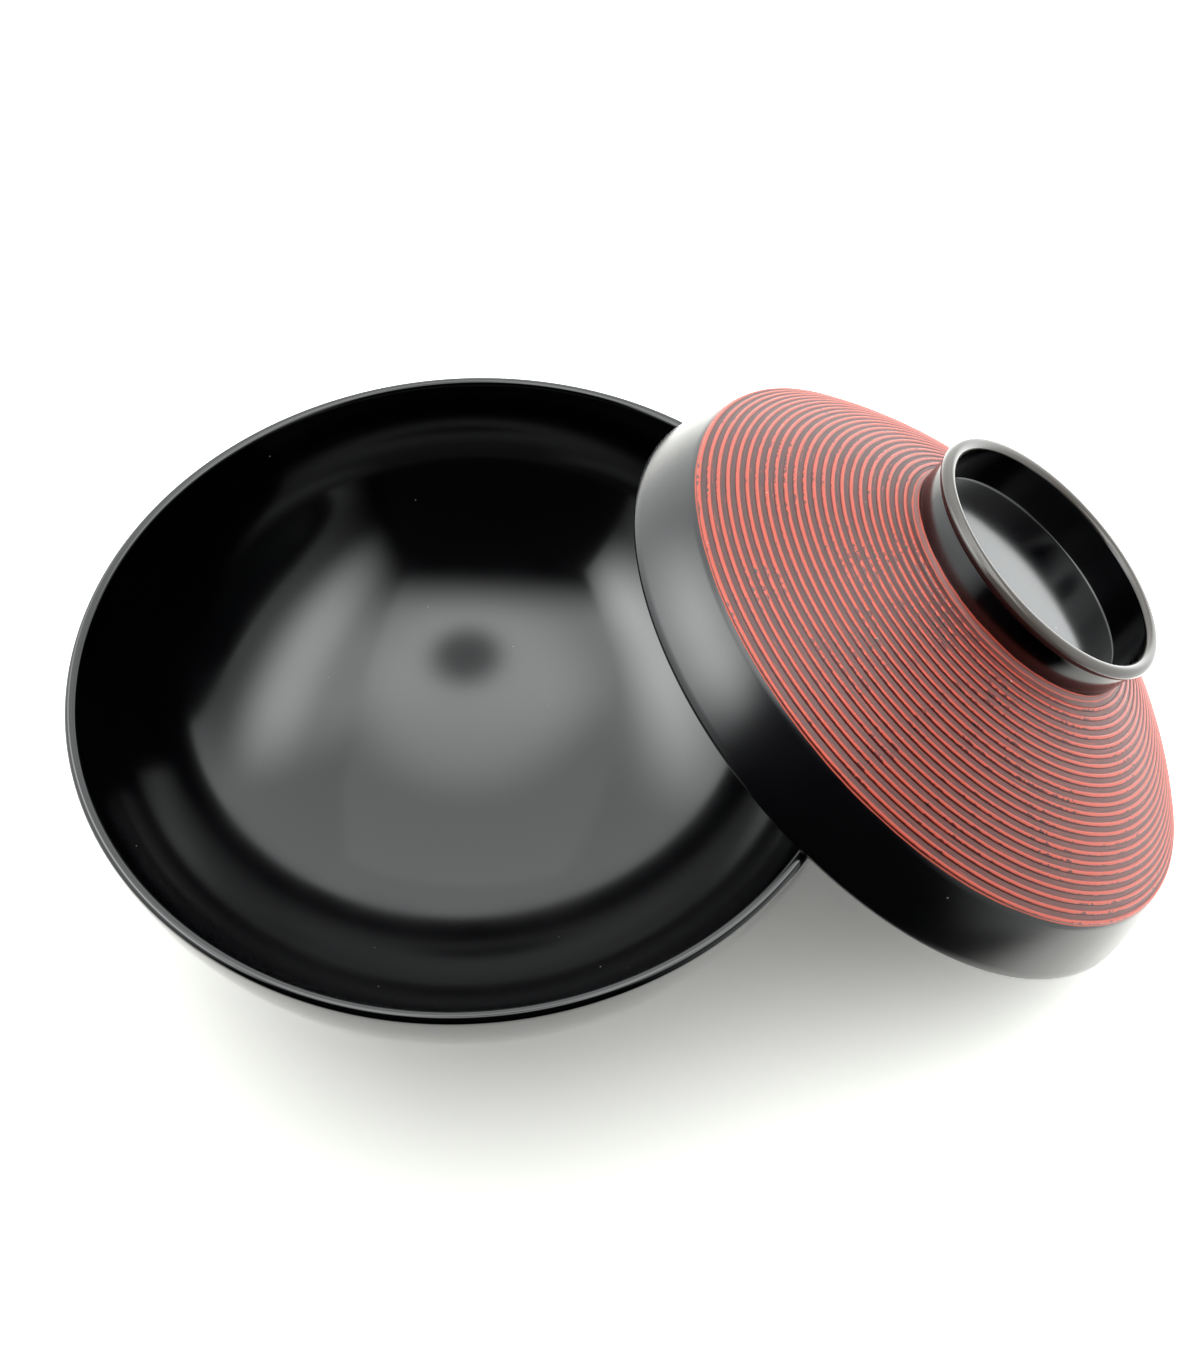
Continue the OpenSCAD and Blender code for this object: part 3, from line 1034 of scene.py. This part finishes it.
@dataclass
class LightTent:
    """The white cloth box round the object, open at the front, with a round hole overhead. Sizes in mm."""

    colour: str = "#FCFFFF"
    turn_deg: float = -12.5
    left_x: float = -253.0
    right_x: float = 163.0
    back_y: float = 600.0
    front_y: float = -252.0
    top_z: float = 451.0
    top: float = 6.4
    top_edge: float = 4.3
    top_edge_r: float = 178.0
    top_edge_soft: float = 72.0
    top_at: Point = (-8.0, 41.0)
    top_back_loss: float = 1.4
    top_fade_y: float = 104.0
    top_fade_soft: float = 80.0
    front_bare: float = 22.0
    front_soft: float = 150.0
    back: float = 2.5
    hole: float = 1.2
    hole_at: Point = (7.0, -17.0)
    hole_r: float = 54.0
    hole_soft: float = 26.0
    left: LampBand = LampBand(
        floor_z=15.0, floor=0.0, low_z=233.0, high_z=383.0, soft_z=88.0, under=1.9, bright=10.4, over=3.7,
        front_y=-190.0, front_soft=120.0, back_y=165.0, back_soft=140.0, slope=0.28)
    right: LampBand = LampBand(
        floor_z=103.0, floor=4.2, low_z=213.0, high_z=314.0, soft_z=42.0, under=1.0, bright=7.2, over=4.5,
        front_y=-107.0, front_soft=120.0, back_y=160.0, back_soft=73.0, slope=0.18, floor_loss=2.1)
    top_fill: float = 1.4
    left_fill: float = 0.9
    right_fill: float = 1.2
    back_fill: float = 0.7
    front_fill: float = 0.5
    steps: int = 48

    def cloth(self) -> Material:
        """Builds the glowing cloth, which is lit from outside and clear when seen from there.

        Returns:
            The material.
        """
        material = bpy.data.materials.new("tent_cloth")
        add = partial(add_node, blank_tree(material))
        glow = add(ATTRIBUTE, attribute_name="glow")["Fac"]
        fill = add(ATTRIBUTE, attribute_name="fill")["Fac"]
        glossy = add("ShaderNodeLightPath")[Rays.GLOSSY.value]
        level = add(MIX, {0: glossy, 2: fill, 3: glow})[0]
        light = add("ShaderNodeEmission", {"Color": linear(self.colour), "Strength": level})[0]
        clear = add("ShaderNodeBsdfTransparent")[0]
        back = add("ShaderNodeNewGeometry")["Backfacing"]
        add(OUTPUT, [add("ShaderNodeMixShader", [back, light, clear])[0]])
        material.cycles.emission_sampling = "NONE"
        return material

    def top_glow(self, at: Vector) -> float:
        """Finds the top cloth's brightness at one place.

        Args:
            at: The place, with x to the right and y to the back.

        Returns:
            Brightness, where 1 is white.
        """
        y, out, way = at.y, math.dist(at.xy, self.top_at), math.dist(at.xy, self.hole_at)
        level = blend(self.top, self.top_edge, step(out, self.top_edge_r, self.top_edge_soft))
        level -= self.top_back_loss * step(y, self.top_fade_y, self.top_fade_soft)
        level = blend(self.hole, level, step(way, self.hole_r, self.hole_soft))
        bare = self.front_y + self.front_bare
        return level * smooth(y, bare, bare + self.front_soft)

    def panel(self, name: str, corner: Triple, u: Triple, v: Triple, glow: Callable[[Vector], float],
              fill: float, cloth: Material) -> Object:
        """Hangs one cloth panel.

        Args:
            name: Name of the panel.
            corner: Its first corner.
            u: Its first side.
            v: Its second side. The panel faces along u cross v.
            glow: Gives the brightness of each place as a mirror sees it.
            fill: Brightness as the light on a matt surface, which is less toward the front.
            cloth: Its material.

        Returns:
            The panel.
        """
        n = self.steps
        turn = Matrix.Rotation(math.radians(self.turn_deg), 3, "Z")
        places = [Vector(corner) + Vector(u) * (i / n) + Vector(v) * (j / n)
                  for j in range(n + 1) for i in range(n + 1)]
        starts = [j * (n + 1) + i for j in range(n) for i in range(n)]
        faces = [(k, k + 1, k + n + 2, k + n + 1) for k in starts]
        mesh = bpy.data.meshes.new(name)
        mesh.from_pydata([turn @ p * MM for p in places], [], faces)
        fills = [fill * blend(self.front_fill, 1.0, smooth(p.y, self.front_y, 0.0)) for p in places]
        for attribute, values in (("glow", [glow(p) for p in places]), ("fill", fills)):
            mesh.attributes.new(attribute, "FLOAT", "POINT").data.foreach_set("value", values)
        mesh.materials.append(cloth)
        panel = new_object(name, mesh)
        panel.visible_camera = False
        return panel

    def build(self) -> None:
        """Hangs the four panels."""
        cloth = self.cloth()
        left, right, front, back, top = self.left_x, self.right_x, self.front_y, self.back_y, self.top_z
        across, along, up = (right - left, 0, 0), (0, back - front, 0), (0, 0, top)
        self.panel("tent_top", (left, front, top), along, across, self.top_glow, self.top_fill, cloth)
        self.panel("tent_left", (left, front, 0), along, up, lambda p: self.left.glow(p.y, p.z, self.back),
                   self.left_fill, cloth)
        self.panel("tent_right", (right, front, 0), up, along, lambda p: self.right.glow(p.y, p.z, self.back),
                   self.right_fill, cloth)
        self.panel("tent_back", (left, back, 0), across, up, lambda p: self.back, self.back_fill, cloth)


@dataclass
class Studio:
    """A light tent, a pale floor and the photograph's camera.

    The floor's levels are shares of white as matt surfaces get it, with what the camera and a
    mirror see added to that.
    """

    tent: LightTent = field(default_factory=LightTent)
    room_colour: str = "#FFFFFF"
    room_diffuse: float = 0.05
    room_glossy: float = 0.02
    room_camera: float = 1.0
    floor_colour: float = 0.6
    floor_camera: float = 2.0
    floor_glossy: float = 2.6
    floor_tint: Triple = (1.0, 0.985, 0.94)
    floor_front_mm: float = -115.0
    floor_front_soft_mm: float = 25.0
    floor_half_m: float = 1.5
    frame_px: float = 1200.0
    lens_px: float = 1692.97
    sensor_mm: float = 36.0
    clip_m: float = 0.01
    eye_mm: Triple = (-6.70, -180.95, 298.12)
    eye_right: Triple = (0.98795, -0.15458, 0.00752)
    eye_up: Triple = (0.11986, 0.79495, 0.59472)
    eye_back: Triple = (-0.09791, -0.58665, 0.80390)

    def world(self) -> World:
        """Builds the room outside the tent: white to the camera, dim in reflections.

        Returns:
            The world.
        """
        world = bpy.data.worlds.new("room")
        add = partial(add_node, blank_tree(world))
        rays = add("ShaderNodeLightPath")
        level = self.room_diffuse
        for kind, seen in ((Rays.GLOSSY, self.room_glossy), (Rays.CAMERA, self.room_camera)):
            level = add(MIX, {0: rays[kind.value], 2: level, 3: seen})[0]
        shader = add("ShaderNodeBackground", {"Color": linear(self.room_colour), "Strength": level})[0]
        add("ShaderNodeOutputWorld", [shader])
        world.cycles.sampling_method = "NONE"
        bpy.context.scene.world = world
        return world

    def floor(self) -> Object:
        """Lays the tent's pale floor, which the camera sees as overexposed white with soft shadows.

        Returns:
            The floor.
        """
        half = self.floor_half_m
        mesh = bpy.data.meshes.new("tent_floor")
        mesh.from_pydata([(-half, -half, 0), (half, -half, 0), (half, half, 0), (-half, half, 0)], [],
                         [(0, 1, 2, 3)])
        floor = new_object("tent_floor", mesh)
        material = bpy.data.materials.new("pale_floor")
        add = partial(add_node, blank_tree(material))
        rays = add("ShaderNodeLightPath")
        level = add(MATH, [rays[Rays.CAMERA.value], self.floor_camera, self.floor_colour],
                    operation="MULTIPLY_ADD")[0]
        deep = add(SPLIT, [add(COORDS)["Object"]])[1]
        edge, soft = self.floor_front_mm * MM, self.floor_front_soft_mm * MM
        under_tent = add(RAMP, [deep, edge - soft, edge + soft, -self.floor_colour, self.floor_glossy],
                         interpolation_type="SMOOTHSTEP")[0]
        level = add(MATH, [rays[Rays.GLOSSY.value], under_tent, level], operation="MULTIPLY_ADD")[0]
        colour = add(VECTOR_MATH, {0: self.floor_tint, "Scale": level}, operation="SCALE")[0]
        add(OUTPUT, [add("ShaderNodeBsdfDiffuse", {"Color": colour})[0]])
        mesh.materials.append(material)
        return floor

    def camera(self) -> Object:
        """Sets the camera at the photograph's viewpoint.

        Returns:
            The camera.
        """
        data = bpy.data.cameras.new("viewpoint")
        data.sensor_fit = "HORIZONTAL"
        data.sensor_width = self.sensor_mm
        data.lens = self.lens_px / self.frame_px * self.sensor_mm
        data.clip_start = self.clip_m
        camera = new_object("viewpoint", data)
        turn = Matrix((self.eye_right, self.eye_up, self.eye_back)).transposed().to_4x4()
        camera.matrix_world = Matrix.Translation(Vector(self.eye_mm) * MM) @ turn
        bpy.context.scene.camera = camera
        return camera

    def build(self) -> None:
        """Sets up the light, the floor and the camera."""
        self.world()
        self.tent.build()
        self.floor()
        self.camera()
        bpy.context.scene.view_settings.view_transform = "Standard"


def main() -> None:
    """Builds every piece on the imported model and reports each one."""
    logging.basicConfig(level=logging.INFO, format="%(name)s: %(message)s")
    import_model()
    Studio().build()
    lathe = Lathe()
    Bowl().build(lathe)
    lid = Lid()
    lid.build(lathe)
    Ribs(lid).build()


if __name__ == "__main__":
    main()
